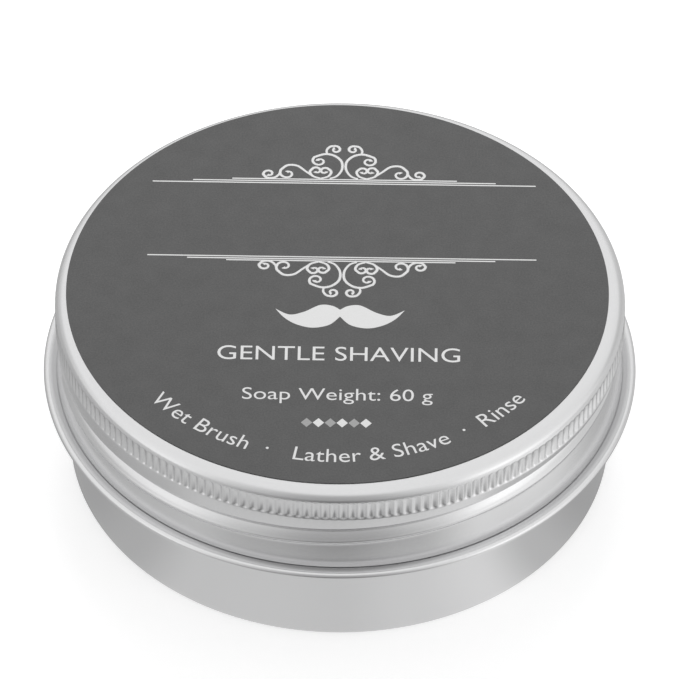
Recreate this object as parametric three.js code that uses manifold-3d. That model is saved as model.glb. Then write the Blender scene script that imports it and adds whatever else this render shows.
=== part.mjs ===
// A round screw-top aluminium tin holding a poured puck of shaving soap.
// Millimetres, +Z up, origin on the tin's axis at the plane it stands on.
// The front of the tin faces -Y; azimuth is measured from the front, counter-clockwise from above.

import * as THREE from "three";
import { mergeVertices } from "three/addons/utils/BufferGeometryUtils.js";
import Module from "manifold-3d";

// Driving dimensions
const TOTAL_HEIGHT = 24.6; // foot plane to the top of the paper label
const BEAD_RADIUS = 34.0; // the rolled bead is the widest part
const LID_RADIUS = 32.49;
const BODY_RADIUS = 31.15;
const LABEL_RADIUS = 30.9;
const LABEL_THICKNESS = 0.08;
const BASE_SHEET = 0.4;
const LID_SHEET = 0.3;
const CORNER_RADIUS = 1.86; // foot to body wall
const SHOULDER_RADIUS = 1.34; // lid top to lid wall
const LID_EDGE_Z = 13.1; // lower edge of the closed lid
const BEAD_Z = 12.88;
const BEAD_ROLL = 0.5; // radius of the bead's rounded rim
const RIM_Z = 22.75; // top of the neck's inward curl
const SOAP_TOP_Z = 19.6;

// Screw thread: single start, right-handed
const LEAD = 4.5;
const NECK_RADIUS = 31.0;
const NECK_RIDGE_HEIGHT = 0.6;
const NECK_RIDGE_HALF_WIDTH = 1.1;
const LID_GROOVE_DEPTH = 0.5;
const LID_GROOVE_HALF_WIDTH = 1.45;
const LID_GROOVE_FRONT_Z = 18.3; // centre of the groove at the front

// Grip ribs
const RIB_COUNT = 200;
const RIB_DEPTH = 0.3;
const RIB_ROOT = 0.2; // how far the toothed ring reaches into the lid wall
const RIBS_TOP_Z = 23.45;
const RIBS_BOTTOM_Z = 20.8;

const SEGMENTS = 60; // around every turned piece
const CLEARANCE = 0.3; // between pieces that touch
const PAPER_GAP = 0.02; // glue line under a label

const wasm = await Module();
wasm.setup();

const point = (radius, z) => new THREE.Vector2(radius, z);

// Points of an arc in the profile plane; angles in degrees from +radius, towards +Z.
function arc(radius, z, size, from, to, steps) {
  return Array.from({ length: steps + 1 }, (_, i) => {
    const angle = THREE.MathUtils.degToRad(from + ((to - from) * i) / steps);
    return point(radius + size * Math.cos(angle), z + size * Math.sin(angle));
  });
}

// Points straight down or up a wall whose radius is a function of height.
function wall(radiusAt, from, to, steps) {
  return Array.from({ length: steps + 1 }, (_, i) => {
    const z = from + ((to - from) * i) / steps;
    return point(radiusAt(z), z);
  });
}

// A turned solid. Its profile runs from the axis at the bottom, round the outside, to the axis at the top.
function turned(profile) {
  return new THREE.LatheGeometry(profile, SEGMENTS).rotateX(Math.PI / 2);
}

// How much of a helical ridge stands at one azimuth and height, from 0 to 1.
function threadShare(thread, azimuth, z) {
  let share = 0;
  for (const lap of [-1, 0, 1]) {
    const turn = azimuth + 360 * lap;
    if (turn <= thread.start || turn >= thread.end) continue;
    const offset = Math.abs(z - thread.frontZ - (LEAD * turn) / 360);
    if (offset >= thread.halfWidth) continue;
    const runOut = Math.min(1, (turn - thread.start) / thread.fade, (thread.end - turn) / thread.fade);
    share += runOut * Math.cos((Math.PI * offset) / (2 * thread.halfWidth)) ** 2;
  }
  return share;
}

// Moves the wall of a turned solid in or out along a thread, on the side that belongs to it.
function cutThread(geometry, thread, depth, takesThread) {
  const position = geometry.attributes.position;
  for (let i = 0; i < position.count; i++) {
    const [x, y, z] = [position.getX(i), position.getY(i), position.getZ(i)];
    const radius = Math.hypot(x, y);
    if (!takesThread(radius, z)) continue;
    const azimuth = THREE.MathUtils.radToDeg(Math.atan2(x, -y));
    const scale = 1 + (depth * threadShare(thread, azimuth, z)) / radius;
    position.setXY(i, x * scale, y * scale);
  }
  return geometry;
}

function toSolid(geometry) {
  const plain = geometry.clone();
  plain.deleteAttribute("normal");
  plain.deleteAttribute("uv");
  const merged = mergeVertices(plain);
  return new wasm.Manifold(
    new wasm.Mesh({
      numProp: 3,
      vertProperties: new Float32Array(merged.attributes.position.array),
      triVerts: new Uint32Array(merged.index.array),
    }),
  );
}

function fromSolid(solid) {
  const { vertProperties, triVerts } = solid.getMesh();
  const geometry = new THREE.BufferGeometry();
  geometry.setAttribute("position", new THREE.BufferAttribute(vertProperties, 3));
  geometry.setIndex(new THREE.BufferAttribute(triVerts, 1));
  geometry.computeVertexNormals();
  return geometry;
}

// The drawn aluminium cup: recessed underside, foot, body wall, rolled bead, threaded neck and inward curl.
function tinBase() {
  const panelRadius = 24.6;
  const panelRise = 0.5;
  const footInner = 25.4;
  const beadCentre = BEAD_RADIUS - BEAD_ROLL;
  const seatZ = LID_EDGE_Z - 0.45; // ledge that the closed lid's edge stops above
  const curlRadius = 0.5;
  const curlCentre = NECK_RADIUS - curlRadius;
  const innerWall = BODY_RADIUS - BASE_SHEET;
  const innerNeck = NECK_RADIUS - 0.35;
  const cornerCentre = BODY_RADIUS - CORNER_RADIUS;
  const neckFoot = 13.4;
  const thread = {
    start: -110,
    end: 405,
    fade: 30,
    frontZ: LID_GROOVE_FRONT_Z - LEAD / 2,
    halfWidth: NECK_RIDGE_HALF_WIDTH,
  };
  const profile = [
    point(0, panelRise),
    point(panelRadius, panelRise),
    point(footInner, 0),
    ...arc(cornerCentre, CORNER_RADIUS, CORNER_RADIUS, -90, 0, 4),
    point(BODY_RADIUS, 10.9),
    ...arc(BODY_RADIUS + 0.9, 10.9, 0.9, 180, 130, 2),
    ...arc(beadCentre, BEAD_Z, BEAD_ROLL, -55, 120, 6),
    point(beadCentre - 0.7, seatZ + 0.2),
    point(beadCentre - 1.2, seatZ),
    point(NECK_RADIUS + 0.5, seatZ),
    point(NECK_RADIUS, seatZ + 0.5),
    ...wall(() => NECK_RADIUS, neckFoot, RIM_Z - curlRadius, 15),
    ...arc(curlCentre, RIM_Z - curlRadius, curlRadius, 30, 210, 5),
    point(innerNeck, RIM_Z - 1.3),
    point(innerNeck, seatZ),
    point(innerWall, seatZ - 1),
    ...arc(cornerCentre, CORNER_RADIUS, CORNER_RADIUS - BASE_SHEET, 0, -90, 3),
    point(footInner + 0.3, BASE_SHEET),
    point(panelRadius, panelRise + BASE_SHEET),
    point(0, panelRise + BASE_SHEET),
  ];
  const onNeck = (radius, z) => z >= neckFoot && z < RIM_Z - curlRadius && radius > innerNeck + 0.1;
  return cutThread(turned(profile), thread, NECK_RIDGE_HEIGHT, onNeck);
}

// The lid's wall outside its thread: full size at the ribs and the hem, slightly waisted between them.
function lidWall(z) {
  const ribsEnd = 19.6;
  const waistZ = 16.9;
  const hemZ = 13.5;
  const waist = 0.24;
  const above = THREE.MathUtils.clamp((ribsEnd - z) / (ribsEnd - waistZ), 0, 1);
  const below = THREE.MathUtils.clamp((z - hemZ) / (waistZ - hemZ), 0, 1);
  return LID_RADIUS - waist * Math.min(above, below);
}

// The knurled grip band, as a toothed ring.
function gripRing() {
  const outline = new THREE.Shape();
  for (let i = 0; i < 2 * RIB_COUNT; i++) {
    const angle = (i * Math.PI) / RIB_COUNT;
    const radius = LID_RADIUS - (i % 2 ? RIB_DEPTH : 0);
    outline[i ? "lineTo" : "moveTo"](radius * Math.cos(angle), radius * Math.sin(angle));
  }
  outline.closePath();
  const hole = new THREE.Path().absarc(0, 0, LID_RADIUS - RIB_DEPTH - RIB_ROOT, 0, 2 * Math.PI, true);
  outline.holes.push(hole);
  const ring = new THREE.ExtrudeGeometry(outline, {
    depth: RIBS_TOP_Z - RIBS_BOTTOM_Z,
    bevelEnabled: false,
    curveSegments: SEGMENTS / 2,
  });
  return ring.translate(0, 0, RIBS_BOTTOM_Z);
}

// The drawn aluminium lid: flat top, round shoulder, ribs, rolled-in thread groove, flared and hemmed edge.
function tinLid() {
  const topZ = TOTAL_HEIGHT - LABEL_THICKNESS - PAPER_GAP;
  const shoulderCentre = LID_RADIUS - SHOULDER_RADIUS;
  const shoulderZ = topZ - SHOULDER_RADIUS;
  const valley = LID_RADIUS - RIB_DEPTH;
  const innerBand = valley - LID_SHEET;
  const hemRoll = 0.3;
  const hemInner = LID_RADIUS - 0.64;
  const hemTop = 14.5;
  const threadTop = 20.2;
  const threadFoot = 15.2;
  const innerZ = topZ - LID_SHEET;
  const thread = {
    start: -84,
    end: 98,
    fade: 18,
    frontZ: LID_GROOVE_FRONT_Z,
    halfWidth: LID_GROOVE_HALF_WIDTH,
  };
  const profile = [
    point(0, innerZ),
    point(innerBand - 1, innerZ),
    point(innerBand, innerZ - 1),
    point(innerBand, RIBS_BOTTOM_Z - 0.2),
    ...wall((z) => lidWall(z) - LID_SHEET, threadTop, threadFoot, 10),
    point(lidWall(hemTop) - LID_SHEET, hemTop + 0.2),
    point(hemInner, hemTop),
    point(hemInner, LID_EDGE_Z + hemRoll),
    ...arc(hemInner + hemRoll, LID_EDGE_Z + hemRoll, hemRoll, 210, 270, 2),
    ...arc(LID_RADIUS - hemRoll, LID_EDGE_Z + hemRoll, hemRoll, -90, 0, 3),
    ...wall(lidWall, threadFoot, threadTop, 10),
    point(LID_RADIUS, RIBS_BOTTOM_Z),
    point(valley - RIB_ROOT / 2, RIBS_BOTTOM_Z + 0.05),
    point(valley - RIB_ROOT / 2, RIBS_TOP_Z - 0.05),
    ...arc(shoulderCentre, shoulderZ, SHOULDER_RADIUS, 10, 90, 5),
    point(0, topZ),
  ];
  const onWall = (radius, z) => z >= threadFoot - 0.01 && z <= threadTop + 0.01 && radius > innerBand - 0.5;
  const shell = cutThread(turned(profile), thread, -LID_GROOVE_DEPTH, onWall);
  return fromSolid(toSolid(shell).add(toSolid(gripRing())));
}

// The foam disc pressed into the lid, which the neck's curl closes against.
function lidLiner() {
  const radius = 31.5;
  const bevel = 0.15;
  const topZ = TOTAL_HEIGHT - LABEL_THICKNESS - PAPER_GAP - LID_SHEET - 0.05;
  const bottomZ = RIM_Z + 0.2;
  return turned([
    point(0, bottomZ),
    point(radius - bevel, bottomZ),
    point(radius, bottomZ + bevel),
    point(radius, topZ - bevel - 0.7),
    point(radius - 0.75, topZ),
    point(0, topZ),
  ]);
}

// The soap, poured hot into the base: it follows the floor and the wall, and creeps up at the edge.
function soapPuck() {
  const radius = NECK_RADIUS - 0.35 - CLEARANCE;
  const floorZ = 0.9 + CLEARANCE;
  return turned([
    point(0, floorZ),
    point(24.9, floorZ),
    point(25.9, BASE_SHEET + CLEARANCE),
    point(28.8, BASE_SHEET + CLEARANCE),
    point(29.9, 1.3),
    point(radius, 2.4),
    point(radius, SOAP_TOP_Z + 0.35),
    point(radius - 0.4, SOAP_TOP_Z + 0.15),
    point(radius - 1.2, SOAP_TOP_Z),
    point(0, SOAP_TOP_Z),
  ]);
}

function paperDisc(radius, thickness) {
  return new THREE.CylinderGeometry(radius, radius, thickness, SEGMENTS).rotateX(Math.PI / 2);
}

const brushedTin = { color: 0xc4c5c7, roughness: 0.35, metalness: 1.0 };
const finishes = {
  tin_base: brushedTin,
  tin_lid: brushedTin,
  lid_liner: { color: 0xeeeeec, roughness: 0.9, metalness: 0.0 },
  soap_puck: { color: 0xf1eee4, roughness: 0.55, metalness: 0.0 },
  top_label: { color: 0x626262, roughness: 0.75, metalness: 0.0 },
  base_label: { color: 0xf2f2f0, roughness: 0.75, metalness: 0.0 },
};

function piece(name, geometry) {
  const mesh = new THREE.Mesh(geometry, new THREE.MeshStandardMaterial(finishes[name]));
  mesh.name = name;
  return mesh;
}

const topLabel = piece("top_label", paperDisc(LABEL_RADIUS, LABEL_THICKNESS));
topLabel.position.set(-0.3, 0.37, TOTAL_HEIGHT - LABEL_THICKNESS / 2);

const baseLabel = piece("base_label", paperDisc(22, LABEL_THICKNESS));
baseLabel.position.z = 0.5 - PAPER_GAP - LABEL_THICKNESS / 2;

const closedLid = new THREE.Group();
closedLid.add(piece("tin_lid", tinLid()), piece("lid_liner", lidLiner()), topLabel);

const filledBase = new THREE.Group();
filledBase.add(piece("tin_base", tinBase()), piece("soap_puck", soapPuck()), baseLabel);

const group = new THREE.Group();
group.add(filledBase, closedLid);

export default group;
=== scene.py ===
import math

import bpy
import numpy as np
from mathutils import Matrix, Vector


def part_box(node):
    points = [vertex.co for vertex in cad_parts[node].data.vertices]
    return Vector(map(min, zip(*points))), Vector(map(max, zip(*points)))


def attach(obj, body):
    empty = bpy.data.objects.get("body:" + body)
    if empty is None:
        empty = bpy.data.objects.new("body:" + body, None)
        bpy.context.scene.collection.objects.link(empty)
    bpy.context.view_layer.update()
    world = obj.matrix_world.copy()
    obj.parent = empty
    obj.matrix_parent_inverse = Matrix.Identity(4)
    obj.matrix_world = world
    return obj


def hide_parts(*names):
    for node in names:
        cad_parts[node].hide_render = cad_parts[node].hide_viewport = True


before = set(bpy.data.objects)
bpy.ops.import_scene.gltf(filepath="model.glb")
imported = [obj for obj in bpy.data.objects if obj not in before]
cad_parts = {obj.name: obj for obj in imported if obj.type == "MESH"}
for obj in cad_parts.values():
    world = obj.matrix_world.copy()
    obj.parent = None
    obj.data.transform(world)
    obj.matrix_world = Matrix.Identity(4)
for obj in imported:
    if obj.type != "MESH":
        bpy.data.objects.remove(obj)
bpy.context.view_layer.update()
mm = 0.001

# ---------------------------------------------------------------------------
# Camera, lights and floor
# A long lens looks down on the tin from the front. The room is a white tent:
# bright overhead and at both sides, darker on the camera's side.
# ---------------------------------------------------------------------------
camera_distance = 858.9 * mm
elevation = math.radians(44.54)
camera_roll = 0.0051
aim = Vector((-0.04, 0, 16.94)) * mm
camera_data = bpy.data.cameras.new("camera")
camera_data.lens = 397.6
camera_data.clip_end = 10
camera = bpy.data.objects.new("camera", camera_data)
bpy.context.scene.collection.objects.link(camera)
camera.location = aim + camera_distance * Vector((0, -math.cos(elevation), math.sin(elevation)))
tilt = Matrix.Rotation(math.pi / 2 - elevation, 3, "X")
camera.rotation_euler = (tilt @ Matrix.Rotation(camera_roll, 3, "Z")).to_euler()
bpy.context.scene.camera = camera
bpy.context.scene.view_settings.view_transform = "Standard"

tent = bpy.data.worlds.new("tent")
bpy.context.scene.world = tent
tent.use_nodes = True
sky = tent.node_tree
background = sky.nodes["Background"]


def joined_math(tree, operation, first, second):
    """A maths node between two sockets or plain numbers."""
    node = tree.nodes.new("ShaderNodeMath")
    node.operation = operation
    for slot, value in zip(node.inputs, (first, second)):
        if isinstance(value, (int, float)):
            slot.default_value = value
        else:
            tree.links.new(value, slot)
    return node.outputs[0]


def round_ramp(tree, x, y, levels, top):
    """Brightness by compass direction: levels is a list of (degrees right of the front, brightness)."""
    turned = joined_math(tree, "ARCTAN2", x, joined_math(tree, "MULTIPLY", y, -1))
    share = joined_math(tree, "ADD", joined_math(tree, "DIVIDE", turned, 2 * math.pi), 0.5)
    ramp = tree.nodes.new("ShaderNodeValToRGB")
    ramp.color_ramp.interpolation = "EASE"
    stops = ramp.color_ramp.elements
    for i, (degrees, level) in enumerate(levels):
        stop = stops[i] if i < 2 else stops.new(1.0)
        stop.position = 0.5 + degrees / 360
        stop.color = (level / top, level / top, level / top, 1)
    tree.links.new(share, ramp.inputs["Fac"])
    return joined_math(tree, "MULTIPLY", ramp.outputs["Color"], top)


def blend(tree, amount, low, high):
    """low where amount is 0, high where it is 1."""
    rise = joined_math(tree, "MULTIPLY", amount, joined_math(tree, "SUBTRACT", high, low))
    return joined_math(tree, "ADD", rise, low)


def smooth_step(tree, value, start, end):
    """Eased from 0 where the value is start to 1 where it is end."""
    step = tree.nodes.new("ShaderNodeMapRange")
    step.interpolation_type = "SMOOTHSTEP"
    step.inputs["From Min"].default_value = start
    step.inputs["From Max"].default_value = end
    tree.links.new(value, step.inputs["Value"])
    return step.outputs["Result"]


direction = sky.nodes.new("ShaderNodeTexCoord")
toward = sky.nodes.new("ShaderNodeSeparateXYZ")
sky.links.new(direction.outputs["Generated"], toward.inputs["Vector"])
walls = [(-180, 0.92), (-124, 0.64), (-92, 0.9), (-62, 1.12), (-32, 0.62), (-10, 0.42)]
walls += [(10, 0.42), (30, 0.66), (58, 1.42), (90, 0.98), (122, 0.58), (180, 0.92)]
slopes = [(-180, 0.95), (-90, 0.97), (-60, 0.98), (-32, 0.72), (-10, 0.46)]
slopes += [(10, 0.46), (30, 0.8), (58, 1.04), (90, 0.93), (122, 0.9), (180, 0.95)]
low_wall = round_ramp(sky, toward.outputs["X"], toward.outputs["Y"], walls, 2.0)
high_wall = round_ramp(sky, toward.outputs["X"], toward.outputs["Y"], slopes, 2.0)
around = blend(sky, smooth_step(sky, toward.outputs["Z"], 0.25, 0.55), low_wall, high_wall)
tent_light = blend(sky, smooth_step(sky, toward.outputs["Z"], 0.62, 0.92), around, 0.93)
# matt surfaces get a little less of the tent's light than the metal reflects
path = sky.nodes.new("ShaderNodeLightPath")
held_back = joined_math(sky, "MULTIPLY", path.outputs["Is Diffuse Ray"], 0.28)
given = joined_math(sky, "SUBTRACT", 1.0, held_back)
sky.links.new(joined_math(sky, "MULTIPLY", tent_light, given), background.inputs["Strength"])
background.inputs["Color"].default_value = (1, 1, 1, 1)

overhead_light = bpy.data.lights.new("overhead", "AREA")
overhead_light.size = 0.16
overhead_light.energy = 0.16
overhead = bpy.data.objects.new("overhead", overhead_light)
bpy.context.scene.collection.objects.link(overhead)
overhead.location = (0.0, 0.15, 0.19)
overhead.rotation_euler = (aim - overhead.location).to_track_quat("-Z", "Y").to_euler()
overhead.visible_glossy = False

bpy.ops.mesh.primitive_plane_add(size=6, location=(0, 0, -0.02 * mm))
floor = bpy.context.object
floor.name = "floor"
paper_white = bpy.data.materials.new("floor_white")
paper_white.use_nodes = True
floor_tree = paper_white.node_tree
floor_shader = floor_tree.nodes["Principled BSDF"]
floor_shader.inputs["Roughness"].default_value = 0.9
floor_shader.inputs["Specular IOR Level"].default_value = 0.1
floor_shader.inputs["Emission Color"].default_value = (1, 1, 1, 1)
# Seen directly the floor is nearly white. What the tin reflects of it is a painted glow that is greyer, and
# away from the tin it grows lighter and darker with the tent's walls, painted light and shade in place of
# lighting.
near_edge, far_edge = 53.5 * mm, 60.5 * mm
floor_place = floor_tree.nodes.new("ShaderNodeTexCoord")
spot = floor_tree.nodes.new("ShaderNodeSeparateXYZ")
floor_tree.links.new(floor_place.outputs["Object"], spot.inputs["Vector"])
oval = floor_tree.nodes.new("ShaderNodeVectorMath")
oval.operation = "MULTIPLY"
oval.inputs[1].default_value = (1.15, 1, 1)
floor_tree.links.new(floor_place.outputs["Object"], oval.inputs[0])
distance = floor_tree.nodes.new("ShaderNodeVectorMath")
distance.operation = "LENGTH"
floor_tree.links.new(oval.outputs["Vector"], distance.inputs[0])
near_levels = [(-180, 0.45), (-74, 0.4), (-54, 0.48), (-36, 0.64), (-17, 0.655), (0, 0.64)]
near_levels += [(17, 0.71), (36, 0.8), (52, 0.54), (72, 0.4), (180, 0.45)]
far_levels = [(-180, 0.5), (-88, 0.48), (-65, 0.57), (-44, 0.58), (-21, 0.34), (0, 0.16)]
far_levels += [(21, 0.36), (44, 0.87), (65, 0.95), (88, 0.68), (180, 0.5)]
near = round_ramp(floor_tree, spot.outputs["X"], spot.outputs["Y"], near_levels, 1.0)
far = round_ramp(floor_tree, spot.outputs["X"], spot.outputs["Y"], far_levels, 1.3)
away = smooth_step(floor_tree, distance.outputs["Value"], near_edge, far_edge)
painted_floor_glow = blend(floor_tree, away, near, far)
seen = floor_tree.nodes.new("ShaderNodeLightPath")
direct = seen.outputs["Is Camera Ray"]
floor_tree.links.new(blend(floor_tree, direct, painted_floor_glow, 0.5), floor_shader.inputs["Emission Strength"])
floor_tree.links.new(blend(floor_tree, direct, 0.02, 0.86), floor_shader.inputs["Base Color"])
# From below the floor is clear, so that the underside of the tin can be looked at.
clear = floor_tree.nodes.new("ShaderNodeBsdfTransparent")
sides = floor_tree.nodes.new("ShaderNodeNewGeometry")
either = floor_tree.nodes.new("ShaderNodeMixShader")
floor_tree.links.new(sides.outputs["Backfacing"], either.inputs["Fac"])
floor_tree.links.new(floor_shader.outputs["BSDF"], either.inputs[1])
floor_tree.links.new(clear.outputs["BSDF"], either.inputs[2])
floor_tree.links.new(either.outputs["Shader"], floor_tree.nodes["Material Output"].inputs["Surface"])
floor.data.materials.append(paper_white)

# ---------------------------------------------------------------------------
# Tin base
# Drawn from one aluminium disc: recessed underside, foot, body wall, a rolled
# bead under the lid, and a neck with a pressed thread and an inward curl.
# ---------------------------------------------------------------------------
base_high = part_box("tin_base")[1]
bead_radius = base_high.x
rim_z = base_high.z
body_radius = bead_radius - 2.85 * mm
neck_radius = bead_radius - 3.0 * mm
bead_z = 12.88 * mm
bead_roll = 0.5 * mm
thread_lead = 4.5 * mm


def arc(radius, z, size, start, end, steps):
    """Points of an arc in the profile plane; angles in degrees, from outwards to upwards."""
    angles = [math.radians(start + (end - start) * i / steps) for i in range(steps + 1)]
    return [(radius + size * math.cos(a), z + size * math.sin(a)) for a in angles]


def run(radius, start, end, steps):
    """Evenly spaced points on a straight wall."""
    return [(radius, start + (end - start) * i / steps) for i in range(steps + 1)]


def turn(name, profile, steps):
    """Draws the profile point by point and spins it round the tin's axis."""
    bpy.ops.object.select_all(action="DESELECT")
    bpy.ops.mesh.primitive_plane_add(size=mm)
    piece = bpy.context.object
    piece.name = piece.data.name = name
    bpy.ops.object.mode_set(mode="EDIT")
    bpy.ops.mesh.merge(type="CENTER")
    here = Vector((0, 0, 0))
    first = Vector((profile[0][0], 0, profile[0][1]))
    bpy.ops.transform.translate(value=first - here)
    here = first
    for radius, z in profile[1:]:
        step = Vector((radius, 0, z)) - here
        if step.length > 1e-7:
            bpy.ops.mesh.extrude_region_move(TRANSFORM_OT_translate={"value": step})
            here = here + step
    bpy.ops.mesh.select_all(action="SELECT")
    bpy.ops.mesh.spin(steps=steps, angle=2 * math.pi, center=(0, 0, 0), axis=(0, 0, 1))
    bpy.ops.mesh.select_all(action="SELECT")
    bpy.ops.mesh.remove_doubles(threshold=1e-6)
    bpy.ops.mesh.normals_make_consistent(inside=False)
    bpy.ops.object.mode_set(mode="OBJECT")
    bpy.ops.object.shade_smooth_by_angle(angle=math.radians(40))
    return piece


def reshape(piece, change):
    """Moves every vertex by change(azimuth in degrees from the front, radius, z)."""
    co = np.empty(len(piece.data.vertices) * 3)
    piece.data.vertices.foreach_get("co", co)
    co = co.reshape(-1, 3)
    radius = np.hypot(co[:, 0], co[:, 1])
    azimuth = np.degrees(np.arctan2(co[:, 0], -co[:, 1]))
    new_radius, new_z = change(azimuth, radius, co[:, 2])
    scale = new_radius / np.maximum(radius, 1e-9)
    co[:, :2] *= scale[:, None]
    co[:, 2] = new_z
    piece.data.vertices.foreach_set("co", co.ravel())
    piece.data.update()


def fade(value, start, end, length):
    """0 outside start to end, 1 inside, with an eased ramp of that length at each end."""
    ramp = np.clip(np.minimum(value - start, end - value) / length, 0, 1)
    return ramp * ramp * (3 - 2 * ramp)


corner = 1.86 * mm
sheet = 0.4 * mm
panel_z = 0.5 * mm
panel_radius = 24.3 * mm
foot_radius = 25.5 * mm
seat_z = 13.09 * mm
corner_centre = body_radius - corner
neck_inner = neck_radius - 0.35 * mm
curl_centre = neck_radius - 0.5 * mm
curl_z = rim_z - 0.5 * mm
bead_centre = bead_radius - bead_roll
base_profile = [
    (0, panel_z),
    (panel_radius / 2, panel_z),
    (panel_radius - 0.3 * mm, panel_z),
    *arc(panel_radius, panel_z - 0.3 * mm, 0.3 * mm, 80, 40, 3),
    *arc(foot_radius, 0.4 * mm, 0.4 * mm, 220, 268, 4),
    *arc(corner_centre, corner, corner, -90, 0, 12),
    (body_radius, 4 * mm),
    (body_radius, 8 * mm),
    *arc(body_radius + 0.9 * mm, 10.9 * mm, 0.9 * mm, 180, 128, 6),
    *arc(bead_centre, bead_z, bead_roll, -58, 105, 16),
    (bead_centre - 0.35 * mm, seat_z + 0.23 * mm),
    (bead_centre - 0.6 * mm, seat_z + 0.16 * mm),
    (bead_centre - 0.8 * mm, seat_z + 0.1 * mm),
    (bead_centre - 0.93 * mm, seat_z + 0.06 * mm),
    (bead_centre - 1.05 * mm, seat_z + 0.01 * mm),
    (bead_centre - 1.2 * mm, seat_z),
    *arc(neck_radius + 0.4 * mm, seat_z + 0.4 * mm, 0.4 * mm, 270, 180, 5),
    *run(neck_radius, seat_z + 0.4 * mm, curl_z, 44),
    *arc(curl_centre, curl_z, 0.5 * mm, 15, 200, 10),
    (neck_inner - 0.3 * mm, rim_z - 0.95 * mm),
    *run(neck_inner, rim_z - 1.1 * mm, 13.4 * mm, 40),
    (body_radius - sheet, 11.5 * mm),
    *arc(corner_centre, corner, corner - sheet, 0, -90, 6),
    (foot_radius + 0.3 * mm, sheet),
    (panel_radius, panel_z + sheet),
    (0, panel_z + sheet),
]
tin_base = turn("drawn_base", base_profile, 360)
neck_thread = {"start": -110, "end": 405, "centre": 16.05 * mm, "half": 1.1 * mm, "height": 0.6 * mm}


def neck_ridge(azimuth, radius, z):
    """Raises the thread on the neck's two walls, fading out at its ends."""
    share = np.zeros_like(z)
    for lap in (-360, 0, 360):
        along = azimuth + lap
        off = np.abs(z - neck_thread["centre"] - thread_lead * along / 360) / neck_thread["half"]
        ridge = np.cos(np.minimum(off, 1) * math.pi / 2) ** 1.6
        share += ridge * fade(along, neck_thread["start"], neck_thread["end"], 30)
    on_neck = (radius > neck_inner - 1e-5) & (z > 13.3 * mm) & (z < curl_z + 1e-5)
    on_neck &= (radius < neck_radius + 1e-5)
    return radius + np.where(on_neck, share, 0) * neck_thread["height"], z


reshape(tin_base, neck_ridge)


def socket(group, name, kind, way, value=None):
    """Gives a node group a named input or output."""
    made = group.interface.new_socket(name=name, in_out=way, socket_type=kind)
    if value is not None:
        made.default_value = value


# Satin metal: a fine even grain, faint cloudy smears and a soft variation in tone.
grain = bpy.data.node_groups.new("satin_grain", "ShaderNodeTree")
socket(grain, "Tone", "NodeSocketColor", "INPUT", (0.8, 0.8, 0.8, 1))
socket(grain, "Roughness", "NodeSocketFloat", "INPUT", 0.3)
socket(grain, "Grain Size", "NodeSocketFloat", "INPUT", 0.0003)
socket(grain, "Smear", "NodeSocketFloat", "INPUT", 0.03)
socket(grain, "Color", "NodeSocketColor", "OUTPUT")
socket(grain, "Roughness", "NodeSocketFloat", "OUTPUT")
socket(grain, "Height", "NodeSocketFloat", "OUTPUT")
inside, outside = grain.nodes.new("NodeGroupInput"), grain.nodes.new("NodeGroupOutput")
place = grain.nodes.new("ShaderNodeTexCoord")
per_size = grain.nodes.new("ShaderNodeMath")
per_size.operation = "DIVIDE"
per_size.inputs[0].default_value = 1.0
grain.links.new(inside.outputs["Grain Size"], per_size.inputs[1])
fine = grain.nodes.new("ShaderNodeTexNoise")
fine.inputs["Detail"].default_value = 2.0
grain.links.new(place.outputs["Object"], fine.inputs["Vector"])
grain.links.new(per_size.outputs[0], fine.inputs["Scale"])
cloud = grain.nodes.new("ShaderNodeTexNoise")
cloud.inputs["Scale"].default_value = 90.0
cloud.inputs["Detail"].default_value = 3.0
grain.links.new(place.outputs["Object"], cloud.inputs["Vector"])
smear = grain.nodes.new("ShaderNodeMath")
smear.operation = "MULTIPLY_ADD"
grain.links.new(cloud.outputs["Fac"], smear.inputs[0])
grain.links.new(inside.outputs["Smear"], smear.inputs[1])
grain.links.new(inside.outputs["Roughness"], smear.inputs[2])
tone = grain.nodes.new("ShaderNodeMixRGB")
tone.blend_type = "MULTIPLY"
tone.inputs["Fac"].default_value = 1.0
tone_range = grain.nodes.new("ShaderNodeMapRange")
tone_range.inputs["To Min"].default_value = 0.975
tone_range.inputs["To Max"].default_value = 1.025
grain.links.new(fine.outputs["Fac"], tone_range.inputs["Value"])
grain.links.new(inside.outputs["Tone"], tone.inputs["Color1"])
grain.links.new(tone_range.outputs["Result"], tone.inputs["Color2"])
grain.links.new(tone.outputs["Color"], outside.inputs["Color"])
grain.links.new(smear.outputs[0], outside.inputs["Roughness"])
grain.links.new(fine.outputs["Fac"], outside.inputs["Height"])


def satin_metal(name, tone_value, roughness):
    """Satin aluminium of a tone and a roughness, with the grain in its colour, gloss and bump."""
    metal = bpy.data.materials.new(name)
    metal.use_nodes = True
    tree = metal.node_tree
    shader = tree.nodes["Principled BSDF"]
    shader.inputs["Metallic"].default_value = 1.0
    effect = tree.nodes.new("ShaderNodeGroup")
    effect.node_tree = grain
    effect.inputs["Tone"].default_value = (*tone_value, 1)
    effect.inputs["Roughness"].default_value = roughness
    bump = tree.nodes.new("ShaderNodeBump")
    bump.inputs["Strength"].default_value = 0.012
    bump.inputs["Distance"].default_value = 0.00002
    tree.links.new(effect.outputs["Color"], shader.inputs["Base Color"])
    tree.links.new(effect.outputs["Roughness"], shader.inputs["Roughness"])
    tree.links.new(effect.outputs["Height"], bump.inputs["Height"])
    tree.links.new(bump.outputs["Normal"], shader.inputs["Normal"])
    return metal


base_metal = satin_metal("base_aluminium", (0.78, 0.78, 0.785), 0.24)
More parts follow.
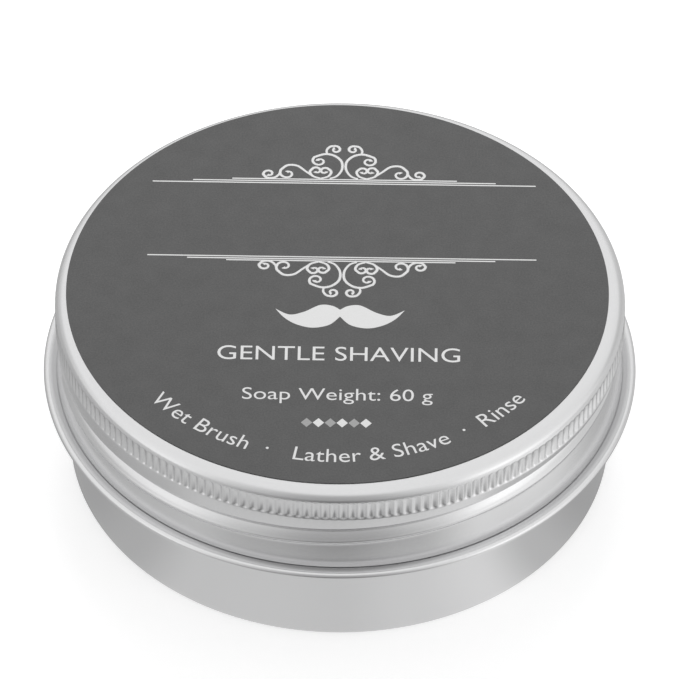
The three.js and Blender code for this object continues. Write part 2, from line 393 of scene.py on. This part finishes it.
# Painted shade: the metal's colour is darkened in the crevice between the bead and the lid's edge, where
# shade falls.
base_tree = base_metal.node_tree
base_place = base_tree.nodes.new("ShaderNodeTexCoord")
height = base_tree.nodes.new("ShaderNodeSeparateXYZ")
flat = base_tree.nodes.new("ShaderNodeVectorMath")
flat.operation = "MULTIPLY"
flat.inputs[1].default_value = (1, 1, 0)
from_axis = base_tree.nodes.new("ShaderNodeVectorMath")
from_axis.operation = "LENGTH"
base_tree.links.new(base_place.outputs["Object"], height.inputs["Vector"])
base_tree.links.new(base_place.outputs["Object"], flat.inputs[0])
base_tree.links.new(flat.outputs["Vector"], from_axis.inputs[0])
shade_from, shade_to = bead_centre - 0.6 * mm, bead_centre - 0.1 * mm
outside_it = smooth_step(base_tree, from_axis.outputs["Value"], shade_from, shade_to)
above_it = smooth_step(base_tree, height.outputs["Z"], seat_z + 0.5 * mm, seat_z + 1.5 * mm)
under_it = smooth_step(base_tree, height.outputs["Z"], bead_z + 0.2 * mm, bead_z)
unshaded = joined_math(base_tree, "MAXIMUM", outside_it, above_it)
unshaded = joined_math(base_tree, "MAXIMUM", unshaded, under_it)
crevice_shade = base_tree.nodes.new("ShaderNodeMixRGB")
crevice_shade.blend_type = "MULTIPLY"
crevice_shade.inputs["Fac"].default_value = 1.0
base_shader = base_tree.nodes["Principled BSDF"]
base_tree.links.new(base_shader.inputs["Base Color"].links[0].from_socket, crevice_shade.inputs["Color1"])
# painted shade: the colour falls to 0.78 of the tone inside the crevice
base_tree.links.new(blend(base_tree, unshaded, 0.78, 1.0), crevice_shade.inputs["Color2"])
base_tree.links.new(crevice_shade.outputs["Color"], base_shader.inputs["Base Color"])
tin_base.data.materials.append(base_metal)
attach(tin_base, "base")
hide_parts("tin_base")

# ---------------------------------------------------------------------------
# Lid
# Drawn aluminium with a rounded shoulder. Two hundred short grooves are
# pressed in for grip, the thread is rolled in below, and the edge is hemmed.
# ---------------------------------------------------------------------------
lid_low, lid_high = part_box("tin_lid")
lid_radius = lid_high.x
lid_top = lid_high.z
lid_edge = lid_low.z
shoulder = 1.34 * mm
lid_sheet = 0.3 * mm
ribs = {"count": 200, "depth": 0.22 * mm, "low": 20.7 * mm, "high": 23.45 * mm, "end": 0.42 * mm}
groove = {"start": -88, "end": 98, "centre": 17.95 * mm, "depth": 0.78 * mm}
groove["upper"], groove["lower"] = 1.2 * mm, 1.15 * mm
land_z = 20.5 * mm
flare = 0.14
hem = 0.15 * mm
hem_inner = lid_radius - 0.64 * mm
# heights across the groove, measured from its deepest line
across = [1.5, 1.3, 1.15, 0.9, 0.6, 0.3, 0.12, 0, -0.1, -0.3, -0.55, -0.8]
across += [-1.0, -1.15, -1.28, -1.4, -1.5, -1.6, -1.85]
groove_rows = [groove["centre"] + d * mm for d in across]
end_rows = [0, 0.06, 0.22, 0.45, 0.72, 1.0]
rib_rows = [ribs["high"] - ribs["end"] * t for t in end_rows]
rib_rows += [ribs["low"] + ribs["end"] * t for t in reversed(end_rows)]
shoulder_centre, shoulder_z = lid_radius - shoulder, lid_top - shoulder


def shoulder_radius(z):
    """The lid's outside above its ribs, where the shoulder still curves."""
    if z <= shoulder_z:
        return lid_radius
    return shoulder_centre + math.sqrt(shoulder**2 - (z - shoulder_z) ** 2)


lid_profile = [
    (0, lid_top),
    (16 * mm, lid_top),
    (30 * mm, lid_top),
    *arc(shoulder_centre, shoulder_z, shoulder, 90, 20, 10),
    *[(shoulder_radius(z), z) for z in rib_rows],
    *[(lid_radius, z) for z in groove_rows],
    (lid_radius, 14.9 * mm),
    (lid_radius, 14.3 * mm),
    (lid_radius, 13.7 * mm),
    *arc(lid_radius - hem, lid_edge + hem, hem, 0, -90, 5),
    *arc(hem_inner + hem, lid_edge + hem, hem, -90, -180, 3),
    (hem_inner, 14.4 * mm),
    (lid_radius - lid_sheet, 14.55 * mm),
    (lid_radius - lid_sheet, 14.9 * mm),
    *[(lid_radius - lid_sheet, z) for z in reversed(groove_rows[::2])],
    (lid_radius - lid_sheet, 20.4 * mm),
    (lid_radius - ribs["depth"] - lid_sheet, 20.8 * mm),
    (lid_radius - ribs["depth"] - lid_sheet, 23.2 * mm),
    (lid_radius - shoulder, lid_top - lid_sheet),
    (0, lid_top - lid_sheet),
]
tin_lid = turn("screw_lid", lid_profile, 6 * ribs["count"])


def groove_line(azimuth):
    """Height of the groove's deepest line: it climbs along the thread and comes back round behind."""
    turns = [-180, groove["start"], -45, 0, 45, 75, groove["end"], 180]
    climb = [-0.3, -0.92, -0.58, 0, 0.74, 1.35, 1.6, -0.3]
    return groove["centre"] + np.interp(azimuth, turns, climb) * mm


def press_lid(azimuth, radius, z):
    """Presses the thread groove, the flared skirt and the grip ribs into the plain drawn lid."""
    wall = radius > lid_radius - 0.35 * mm
    # rows of the thread zone follow the thread
    line = groove_line(azimuth)
    upper_end = np.minimum(line + groove["upper"], 20.55 * mm)
    zone = wall & (z < 20.6 * mm) & (z > 15.3 * mm)
    off = z - groove["centre"]
    above = line + off * (upper_end - line) / groove["upper"]
    above = np.where(off > groove["upper"], upper_end + (off - groove["upper"]) * 0.2, above)
    new_z = np.where(zone, np.where(off > 0, above, line + off), z)
    # the groove itself, sharp at its deepest line and at its lower edge
    share = np.where(off > 0, 1 - off / groove["upper"], 1 + off / groove["lower"])
    share = np.clip(share, 0, 1)
    share = np.where(off > 0, share**1.15, 0.6 * share + 0.4 * share**2)
    lip = 0.1 * np.exp(-(((off + 1.27 * mm) / (0.17 * mm)) ** 2))
    pressed = groove["depth"] * (share - lip) * fade(azimuth, groove["start"], groove["end"], 20)
    # the skirt flares a little from the groove's lower edge down to the hem
    waist_z = line - 1.5 * mm
    hem_z = lid_edge + hem
    rise = np.clip((new_z - hem_z) / (waist_z - hem_z), 0, 1)
    fall = np.clip((land_z - new_z) / (land_z - waist_z), 0, 1)
    dip = flare * (waist_z - hem_z) * np.minimum(rise, fall)
    new_radius = radius - np.where(wall & (z < 20.6 * mm) & (z > 13.36 * mm), dip, 0)
    new_radius = new_radius - np.where(zone, pressed, 0)
    # grip grooves
    column = (0.5 - 0.5 * np.cos(np.radians(azimuth * ribs["count"]))) ** 0.75
    ends = fade(z, ribs["low"] - 1e-6, ribs["high"] + 1e-6, ribs["end"])
    outside_wall = radius > lid_radius - 0.12 * mm
    new_radius = new_radius - np.where(outside_wall & (z > 20.65 * mm), column * ends * ribs["depth"], 0)
    return new_radius, new_z


reshape(tin_lid, press_lid)
tin_lid.data.materials.append(satin_metal("lid_aluminium", (0.78, 0.78, 0.785), 0.24))
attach(tin_lid, "lid")
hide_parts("tin_lid")

# ---------------------------------------------------------------------------
# Soap
# Hard cream-white soap, poured hot into the base, so it creeps up the wall and
# its top is almost flat. It fills the base up to three millimetres below the rim.
# ---------------------------------------------------------------------------
soap_low, soap_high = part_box("soap_puck")
soap_radius = soap_high.x
soap_top = soap_high.z - 0.35 * mm
soap_rings = [(soap_radius - 1.4 * mm) * (i / 24) ** 0.9 for i in range(25)]
creep = [(1.4 * (1 - t), 0.35 * t * t) for t in (0.25, 0.5, 0.7, 0.85, 0.95, 1)]
soap_profile = [
    *[(r, soap_top) for r in soap_rings],
    *[(soap_radius - d * mm, soap_top + h * mm) for d, h in creep],
    *run(soap_radius, soap_top, soap_low.z + 0.8 * mm, 4),
    *arc(soap_radius - 0.8 * mm, soap_low.z + 0.8 * mm, 0.8 * mm, 0, -90, 4),
    (0, soap_low.z),
]
soap = turn("poured_soap", soap_profile, 180)


def poured_top(azimuth, radius, z):
    """Low, broad ripples left by pouring."""
    x, y = radius * np.sin(np.radians(azimuth)) / mm, radius * np.cos(np.radians(azimuth)) / mm
    wave = np.sin(0.31 * x + 0.4) * np.cos(0.23 * y) + 0.6 * np.sin(0.17 * (x + y) + 1.1)
    wave += 0.35 * np.sin(0.62 * radius / mm - 0.8)
    share = np.clip((soap_radius - radius) / (3 * mm), 0, 1) * (z > soap_top - 1e-5)
    return radius, z - 0.045 * mm * share * (1 + wave)


reshape(soap, poured_top)
soap_material = bpy.data.materials.new("cream_soap")
soap_material.use_nodes = True
soap_tree = soap_material.node_tree
soap_shader = soap_tree.nodes["Principled BSDF"]
soap_shader.inputs["Subsurface Weight"].default_value = 0.25
soap_shader.inputs["Subsurface Scale"].default_value = 0.0015
soap_shader.inputs["Roughness"].default_value = 0.42
soap_place = soap_tree.nodes.new("ShaderNodeTexCoord")
marbling = soap_tree.nodes.new("ShaderNodeTexNoise")
marbling.inputs["Scale"].default_value = 160.0
marbling.inputs["Detail"].default_value = 5.0
marbling.inputs["Distortion"].default_value = 0.7
soap_tree.links.new(soap_place.outputs["Object"], marbling.inputs["Vector"])
soap_ramp = soap_tree.nodes.new("ShaderNodeValToRGB")
soap_ramp.color_ramp.elements[0].position = 0.3
soap_ramp.color_ramp.elements[0].color = (0.85, 0.82, 0.74, 1)
soap_ramp.color_ramp.elements[1].position = 0.7
soap_ramp.color_ramp.elements[1].color = (0.91, 0.89, 0.83, 1)
soap_tree.links.new(marbling.outputs["Fac"], soap_ramp.inputs["Fac"])
soap_tree.links.new(soap_ramp.outputs["Color"], soap_shader.inputs["Base Color"])
pits = soap_tree.nodes.new("ShaderNodeTexNoise")
pits.inputs["Scale"].default_value = 1500.0
pits.inputs["Detail"].default_value = 3.0
soap_tree.links.new(soap_place.outputs["Object"], pits.inputs["Vector"])
soap_bump = soap_tree.nodes.new("ShaderNodeBump")
soap_bump.inputs["Strength"].default_value = 0.12
soap_bump.inputs["Distance"].default_value = 0.0001
soap_tree.links.new(pits.outputs["Fac"], soap_bump.inputs["Height"])
soap_tree.links.new(soap_bump.outputs["Normal"], soap_shader.inputs["Normal"])
soap.data.materials.append(soap_material)
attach(soap, "base")
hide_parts("soap_puck")

# ---------------------------------------------------------------------------
# Foam liner
# White closed-cell foam, cut as a disc and held in the lid by its tight fit.
# The neck's curl has pressed a shallow ring into its underside.
# ---------------------------------------------------------------------------
liner_low, liner_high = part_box("lid_liner")
liner_radius = liner_high.x
seal = [(a, 0.1 * (1 + math.cos(math.pi * a / 0.9))) for a in (0.9, 0.6, 0.3, 0, -0.3, -0.6, -0.9)]
seal_radius = neck_radius - 0.5 * mm
liner_profile = [
    (0, liner_low.z),
    (20 * mm, liner_low.z),
    *[(seal_radius - a * mm, liner_low.z + h * mm) for a, h in seal],
    *arc(liner_radius - 0.1 * mm, liner_low.z + 0.1 * mm, 0.1 * mm, -90, 0, 3),
    *arc(liner_radius - 0.2 * mm, liner_high.z - 0.2 * mm, 0.2 * mm, 0, 90, 3),
    (0, liner_high.z),
]
liner = turn("foam_liner", liner_profile, 180)
foam = bpy.data.materials.new("white_foam")
foam.use_nodes = True
foam_tree = foam.node_tree
foam_shader = foam_tree.nodes["Principled BSDF"]
foam_shader.inputs["Roughness"].default_value = 0.7
foam_place = foam_tree.nodes.new("ShaderNodeTexCoord")
cells = foam_tree.nodes.new("ShaderNodeTexVoronoi")
cells.inputs["Scale"].default_value = 4200.0
foam_tree.links.new(foam_place.outputs["Object"], cells.inputs["Vector"])
foam_tone = foam_tree.nodes.new("ShaderNodeValToRGB")
foam_tone.color_ramp.elements[0].color = (0.93, 0.93, 0.92, 1)
foam_tone.color_ramp.elements[1].color = (0.80, 0.80, 0.79, 1)
foam_tree.links.new(cells.outputs["Distance"], foam_tone.inputs["Fac"])
foam_tree.links.new(foam_tone.outputs["Color"], foam_shader.inputs["Base Color"])
foam_bump = foam_tree.nodes.new("ShaderNodeBump")
foam_bump.inputs["Strength"].default_value = 0.35
foam_bump.inputs["Distance"].default_value = 0.00006
foam_bump.invert = True
foam_tree.links.new(cells.outputs["Distance"], foam_bump.inputs["Height"])
foam_tree.links.new(foam_bump.outputs["Normal"], foam_shader.inputs["Normal"])
liner.data.materials.append(foam)
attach(liner, "liner")
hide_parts("lid_liner")

# ---------------------------------------------------------------------------
# Top label
# A dark grey uncoated paper disc, glued to the lid a little off its centre.
# ---------------------------------------------------------------------------
label_low, label_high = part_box("top_label")
label_centre = (label_low + label_high) / 2
label_radius = (label_high.x - label_low.x) / 2
label_top = label_high.z


def paper_disc(name, radius, low, high):
    """A cut paper disc with a slightly rounded upper edge."""
    edge = (high - low) * 0.4
    outline = [
        (0, high),
        (radius * 0.5, high),
        (radius - 4 * edge, high),
        *arc(radius - edge, high - edge, edge, 90, 0, 3),
        *arc(radius - edge, low + edge, edge, 0, -90, 3),
        (radius - 4 * edge, low),
        (radius * 0.5, low),
        (0, low),
    ]
    return turn(name, outline, 360)


top_label = paper_disc("lid_label", label_radius, label_low.z, label_high.z)
bpy.ops.object.mode_set(mode="EDIT")
bpy.ops.mesh.select_all(action="SELECT")
bpy.ops.transform.translate(value=(label_centre.x, label_centre.y, 0))
bpy.ops.object.mode_set(mode="OBJECT")

# Uncoated paper: a fine fibre speckle with broad, faint cloudiness.
fibres = bpy.data.node_groups.new("paper_fibres", "ShaderNodeTree")
socket(fibres, "Tone", "NodeSocketColor", "INPUT", (0.13, 0.13, 0.13, 1))
socket(fibres, "Speckle", "NodeSocketFloat", "INPUT", 0.15)
socket(fibres, "Color", "NodeSocketColor", "OUTPUT")
socket(fibres, "Height", "NodeSocketFloat", "OUTPUT")
inside, outside = fibres.nodes.new("NodeGroupInput"), fibres.nodes.new("NodeGroupOutput")
place = fibres.nodes.new("ShaderNodeTexCoord")
speck = fibres.nodes.new("ShaderNodeTexNoise")
speck.inputs["Scale"].default_value = 5200.0
speck.inputs["Detail"].default_value = 2.0
fibres.links.new(place.outputs["Object"], speck.inputs["Vector"])
cloudy = fibres.nodes.new("ShaderNodeTexNoise")
cloudy.inputs["Scale"].default_value = 420.0
cloudy.inputs["Detail"].default_value = 4.0
fibres.links.new(place.outputs["Object"], cloudy.inputs["Vector"])
both = fibres.nodes.new("ShaderNodeMath")
both.operation = "MULTIPLY_ADD"
both.inputs[1].default_value = 0.4
fibres.links.new(cloudy.outputs["Fac"], both.inputs[0])
fibres.links.new(speck.outputs["Fac"], both.inputs[2])
centred = fibres.nodes.new("ShaderNodeMath")
centred.operation = "SUBTRACT"
centred.inputs[1].default_value = 0.7
fibres.links.new(both.outputs[0], centred.inputs[0])
depth = fibres.nodes.new("ShaderNodeMath")
depth.operation = "MULTIPLY_ADD"
depth.inputs[2].default_value = 1.0
fibres.links.new(centred.outputs[0], depth.inputs[0])
fibres.links.new(inside.outputs["Speckle"], depth.inputs[1])
paper_tone = fibres.nodes.new("ShaderNodeMixRGB")
paper_tone.blend_type = "MULTIPLY"
paper_tone.inputs["Fac"].default_value = 1.0
fibres.links.new(inside.outputs["Tone"], paper_tone.inputs["Color1"])
fibres.links.new(depth.outputs[0], paper_tone.inputs["Color2"])
fibres.links.new(paper_tone.outputs["Color"], outside.inputs["Color"])
fibres.links.new(both.outputs[0], outside.inputs["Height"])


def paper(name, tone_value, speckle, roughness, bump_strength):
    sheet_of = bpy.data.materials.new(name)
    sheet_of.use_nodes = True
    tree = sheet_of.node_tree
    shader = tree.nodes["Principled BSDF"]
    shader.inputs["Roughness"].default_value = roughness
    shader.inputs["Specular IOR Level"].default_value = 0.25
    effect = tree.nodes.new("ShaderNodeGroup")
    effect.node_tree = fibres
    effect.inputs["Tone"].default_value = (*tone_value, 1)
    effect.inputs["Speckle"].default_value = speckle
    bump = tree.nodes.new("ShaderNodeBump")
    bump.inputs["Strength"].default_value = bump_strength
    bump.inputs["Distance"].default_value = 0.00003
    tree.links.new(effect.outputs["Color"], shader.inputs["Base Color"])
    tree.links.new(effect.outputs["Height"], bump.inputs["Height"])
    tree.links.new(bump.outputs["Normal"], shader.inputs["Normal"])
    return sheet_of


top_label.data.materials.append(paper("grey_label_paper", (0.132, 0.132, 0.132), 0.55, 0.75, 0.2))
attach(top_label, "lid")
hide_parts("top_label")

# ---------------------------------------------------------------------------
# Printing on the top label
# White and grey ink, built as films a hundredth of a millimetre thick that ride
# with the lid. The scrolls and moustache are smooth lines through given points.
# ---------------------------------------------------------------------------
ink = paper("white_ink", (0.89, 0.89, 0.89), 0.08, 0.6, 0.1)
grey_ink = paper("grey_ink", (0.44, 0.44, 0.44), 0.12, 0.6, 0.1)
film = 0.012 * mm
print_turn = Matrix.Rotation(math.radians(-0.75), 4, "Z")
print_place = Matrix.Translation((label_centre.x, label_centre.y, label_top - 0.002 * mm)) @ print_turn


def printed(piece, colour):
    """Makes a flat drawing in label millimetres into a thin film lying on the label."""
    bpy.ops.object.select_all(action="DESELECT")
    piece.select_set(True)
    bpy.context.view_layer.objects.active = piece
    if piece.type != "MESH":
        bpy.ops.object.convert(target="MESH")
        piece = bpy.context.object
    low = min(v.co.z for v in piece.data.vertices)
    high = max(v.co.z for v in piece.data.vertices)
    flatten = Matrix.Diagonal((mm, mm, film / (high - low), 1)) @ Matrix.Translation((0, 0, -low))
    piece.data.transform(print_place @ flatten)
    bpy.ops.object.mode_set(mode="EDIT")
    bpy.ops.mesh.select_all(action="SELECT")
    bpy.ops.mesh.remove_doubles(threshold=1e-7)
    bpy.ops.mesh.normals_make_consistent(inside=False)
    bpy.ops.object.mode_set(mode="OBJECT")
    piece.data.materials.clear()
    piece.data.materials.append(colour)
    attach(piece, "lid")
    return piece


def joined(pieces, name):
    bpy.ops.object.select_all(action="DESELECT")
    for piece in pieces:
        piece.select_set(True)
    bpy.context.view_layer.objects.active = pieces[0]
    bpy.ops.object.join()
    pieces[0].name = pieces[0].data.name = name
    return pieces[0]


def bar(left, right, height):
    """A ruled line, 0.17 mm wide."""
    bpy.ops.mesh.primitive_cube_add(size=1)
    rule = bpy.context.object
    middle = Matrix.Translation(((left + right) / 2, height, 0))
    rule.data.transform(middle @ Matrix.Diagonal((right - left, 0.17, 1, 1)))
    return rule


upper_rules = [bar(-21.64, 22.6, 17.52), bar(-16.98, 17.98, 17.86), bar(-12.46, 13.5, 18.18)]
lower_rules = [bar(-21.84, 22.66, 5.24), bar(-17.28, 17.96, 4.9), bar(-12.8, 13.4, 4.6)]
printed(joined(upper_rules + lower_rules, "printed_rules"), ink)


def between(p, q, r, s, t):
    """A value on the smooth line from q to r, a share t of the way, with p before it and s after it."""
    return 0.5 * (2 * q + (r - p) * t + (2 * p - 5 * q + 4 * r - s) * t**2 + (3 * q - p - 3 * r + s) * t**3)


def smooth_run(keys, steps=10):
    """A smooth line through the key points."""
    points = []
    padded = [keys[0], *keys, keys[-1]]
    for a, b, c, d in zip(padded, padded[1:], padded[2:], padded[3:]):
        for i in range(steps):
            points.append(tuple(between(*four, i / steps) for four in zip(a, b, c, d)))
    return points + [keys[-1]]


def curl(keys, centre, turns):
    """A line that ends in a spiral round the centre; turns is negative when it winds clockwise."""
    tip = 0.22
    points = smooth_run(keys)
    cx, cy = centre
    x, y = points[-1]
    far, begin = math.hypot(x - cx, y - cy), math.atan2(y - cy, x - cx)
    count = int(abs(turns) * 28)
    for i in range(1, count + 1):
        t = i / count
        size = far + (tip - far) * t**0.8
        angle = begin + 2 * math.pi * turns * t
        points.append((cx + size * math.cos(angle), cy + size * math.sin(angle)))
    return points


tall_stem = [(1.6, 0.08), (0.8, 0.5), (0.24, 1.6), (0.3, 2.9), (1.1, 3.85), (2.2, 4.12), (3.4, 3.6)]
half_scroll = [
    curl([(1.95, 4.12), (2.02, 4.75), (1.65, 5.35), (1.05, 5.5)], (1.0, 4.88), 0.95),
    curl(tall_stem, (2.8, 2.95), -1.1),
    curl([(2.6, 0.08), (1.75, 0.45), (1.45, 1.2), (1.9, 1.8)], (2.2, 1.3), -0.8),
    curl([(2.6, 0.08), (3.5, 0.45), (3.85, 1.2), (3.45, 1.85)], (3.1, 1.35), 0.75),
    curl([(3.35, 0.3), (4.3, 1.2), (5.3, 2.12), (6.4, 2.2), (7.15, 1.45)], (6.35, 0.85), -0.95),
    curl([(7.2, 1.5), (7.35, 0.7), (7.9, 0.12), (8.7, 0.1), (9.15, 0.65)], (8.5, 0.78), 0.9),
]


def scroll(name, axis_x, base_y, up, size):
    """The half scroll and its mirror image, standing on a base line or hanging from it."""
    drawing = bpy.data.curves.new(name, "CURVE")
    drawing.dimensions = "3D"
    drawing.bevel_depth = 0.16
    drawing.bevel_resolution = 1
    drawing.use_fill_caps = True
    for side in (-1, 1):
        for line in half_scroll:
            spline = drawing.splines.new("POLY")
            spline.points.add(len(line) - 1)
            for i, (x, y) in enumerate(line):
                along = i / (len(line) - 1)
                swell = 0.8 + 0.35 * math.sin(math.pi * along)
                blob = max(0, along - 0.93) / 0.07
                spline.points[i].co = (axis_x + side * x * size, base_y + up * y * size, 0, 1)
                spline.points[i].radius = swell + blob
    piece = bpy.data.objects.new(name, drawing)
    bpy.context.scene.collection.objects.link(piece)
    return printed(piece, ink)


scroll("printed_scroll_upper", 0.42, 18.25, 1, 1.02)
scroll("printed_scroll_lower", 0.48, 4.55, -1, 1.04)


def filled(name, outline):
    """A filled flat shape."""
    drawing = bpy.data.curves.new(name, "CURVE")
    drawing.dimensions = "2D"
    drawing.fill_mode = "BOTH"
    drawing.extrude = 0.5
    spline = drawing.splines.new("POLY")
    spline.use_cyclic_u = True
    spline.points.add(len(outline) - 1)
    for point, (x, y) in zip(spline.points, outline):
        point.co = (x, y, 0, 1)
    piece = bpy.data.objects.new(name, drawing)
    bpy.context.scene.collection.objects.link(piece)
    return piece


# one half of the moustache: a full lobe by the nose, thinning to a tip that turns up
upper_keys = [(0, -3.35), (0.9, -2.72), (2.3, -2.62), (4.1, -3.75), (5.75, -4.22), (7.35, -3.3)]
lower_keys = [(7.35, -3.3), (6.3, -4.75), (4.9, -5.8), (3.1, -6.3), (1.2, -5.8), (0, -4.45)]
right_half = smooth_run(upper_keys, 8) + smooth_run(lower_keys, 8)[1:]
left_half = [(-x, y) for x, y in reversed(right_half)]
moustache = [(x + 0.36, y) for x, y in right_half + left_half[1:-1]]
printed(filled("printed_moustache", moustache), ink)


def wording(name, text, size, width, centre_x, baseline):
    """A centred line of text, sized by its capitals' height and stretched to its width."""
    bpy.ops.object.text_add()
    line = bpy.context.object
    line.name = line.data.name = name
    line.data.body = text
    line.data.extrude = 0.5
    line.data.resolution_u = 5
    line.data.offset = -0.008
    line.data.size = size / 0.73
    line.data.align_x = "CENTER"
    bpy.context.view_layer.update()
    stretch = width / line.dimensions.x
    bpy.ops.object.convert(target="MESH")
    line = bpy.context.object
    line.data.transform(Matrix.Translation((centre_x, baseline, 0)) @ Matrix.Diagonal((stretch, 1, 1, 1)))
    return line


printed(wording("printed_title", "GENTLE SHAVING", 2.35, 27.4, 0.35, -11.55), ink)
printed(wording("printed_weight", "Soap Weight: 60 g", 1.95, 21.4, 0.23, -17.85), ink)


def bend(line, radius, middle):
    """Wraps a flat line of text round the label, reading along its lower edge."""
    for vertex in line.data.vertices:
        angle = middle + vertex.co.x / radius
        out = radius - vertex.co.y
        vertex.co.x, vertex.co.y = out * math.cos(angle), out * math.sin(angle)
    return line


arc_radius = 27.6
arc_length = arc_radius * math.radians(100)
motto_words = "Wet Brush  \u00b7   Lather & Shave  \u00b7  Rinse"
motto = wording("printed_motto", motto_words, 2.15, arc_length, 0, 0)
printed(bend(motto, arc_radius, math.radians(-88.8)), ink)


diamond_y = -21.45


def diamond(x):
    bpy.ops.mesh.primitive_cylinder_add(vertices=4, radius=1, depth=1)
    piece = bpy.context.object
    piece.data.transform(Matrix.Translation((x, diamond_y, 0)) @ Matrix.Diagonal((0.64, 0.71, 1, 1)))
    return piece


diamond_row = [-3.1 + 1.33 * i for i in range(6)]
printed(joined([diamond(x) for x in diamond_row[1::2]], "printed_diamonds_white"), ink)
printed(joined([diamond(x) for x in diamond_row[0::2]], "printed_diamonds_grey"), grey_ink)

# ---------------------------------------------------------------------------
# Base label
# A plain white paper disc glued into the recess of the underside, with a
# printed ring and a few plain ruled lines in place of small print.
# ---------------------------------------------------------------------------
under_low, under_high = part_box("base_label")
under_radius = under_high.x
base_label = paper_disc("underside_label", under_radius, under_low.z, under_high.z)
base_label.data.materials.append(paper("white_label_paper", (0.82, 0.82, 0.81), 0.1, 0.7, 0.15))
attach(base_label, "base")
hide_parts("base_label")
dark_ink = paper("dark_ink", (0.12, 0.12, 0.12), 0.1, 0.6, 0.1)
ring_out, ring_in = 20.4 * mm, 20.1 * mm
ink_low = under_low.z - 0.01 * mm
ring_profile = [
    (ring_in, ink_low),
    (ring_out, ink_low),
    (ring_out, under_low.z),
    (ring_in, under_low.z),
    (ring_in, ink_low),
]
under_ring = turn("underside_ring", ring_profile, 180)
under_lines = [under_ring]
for row, half in enumerate((9, 13, 13, 11, 13, 7)):
    bpy.ops.mesh.primitive_cube_add(size=1)
    rule = bpy.context.object
    lay = Matrix.Translation((0, (7.5 - 3 * row) * mm, ink_low / 2 + under_low.z / 2))
    rule.data.transform(lay @ Matrix.Diagonal((2 * half * mm, 0.35 * mm, under_low.z - ink_low, 1)))
    under_lines.append(rule)
under_print = joined(under_lines, "underside_print")
under_print.data.materials.clear()
under_print.data.materials.append(dark_ink)
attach(under_print, "base")
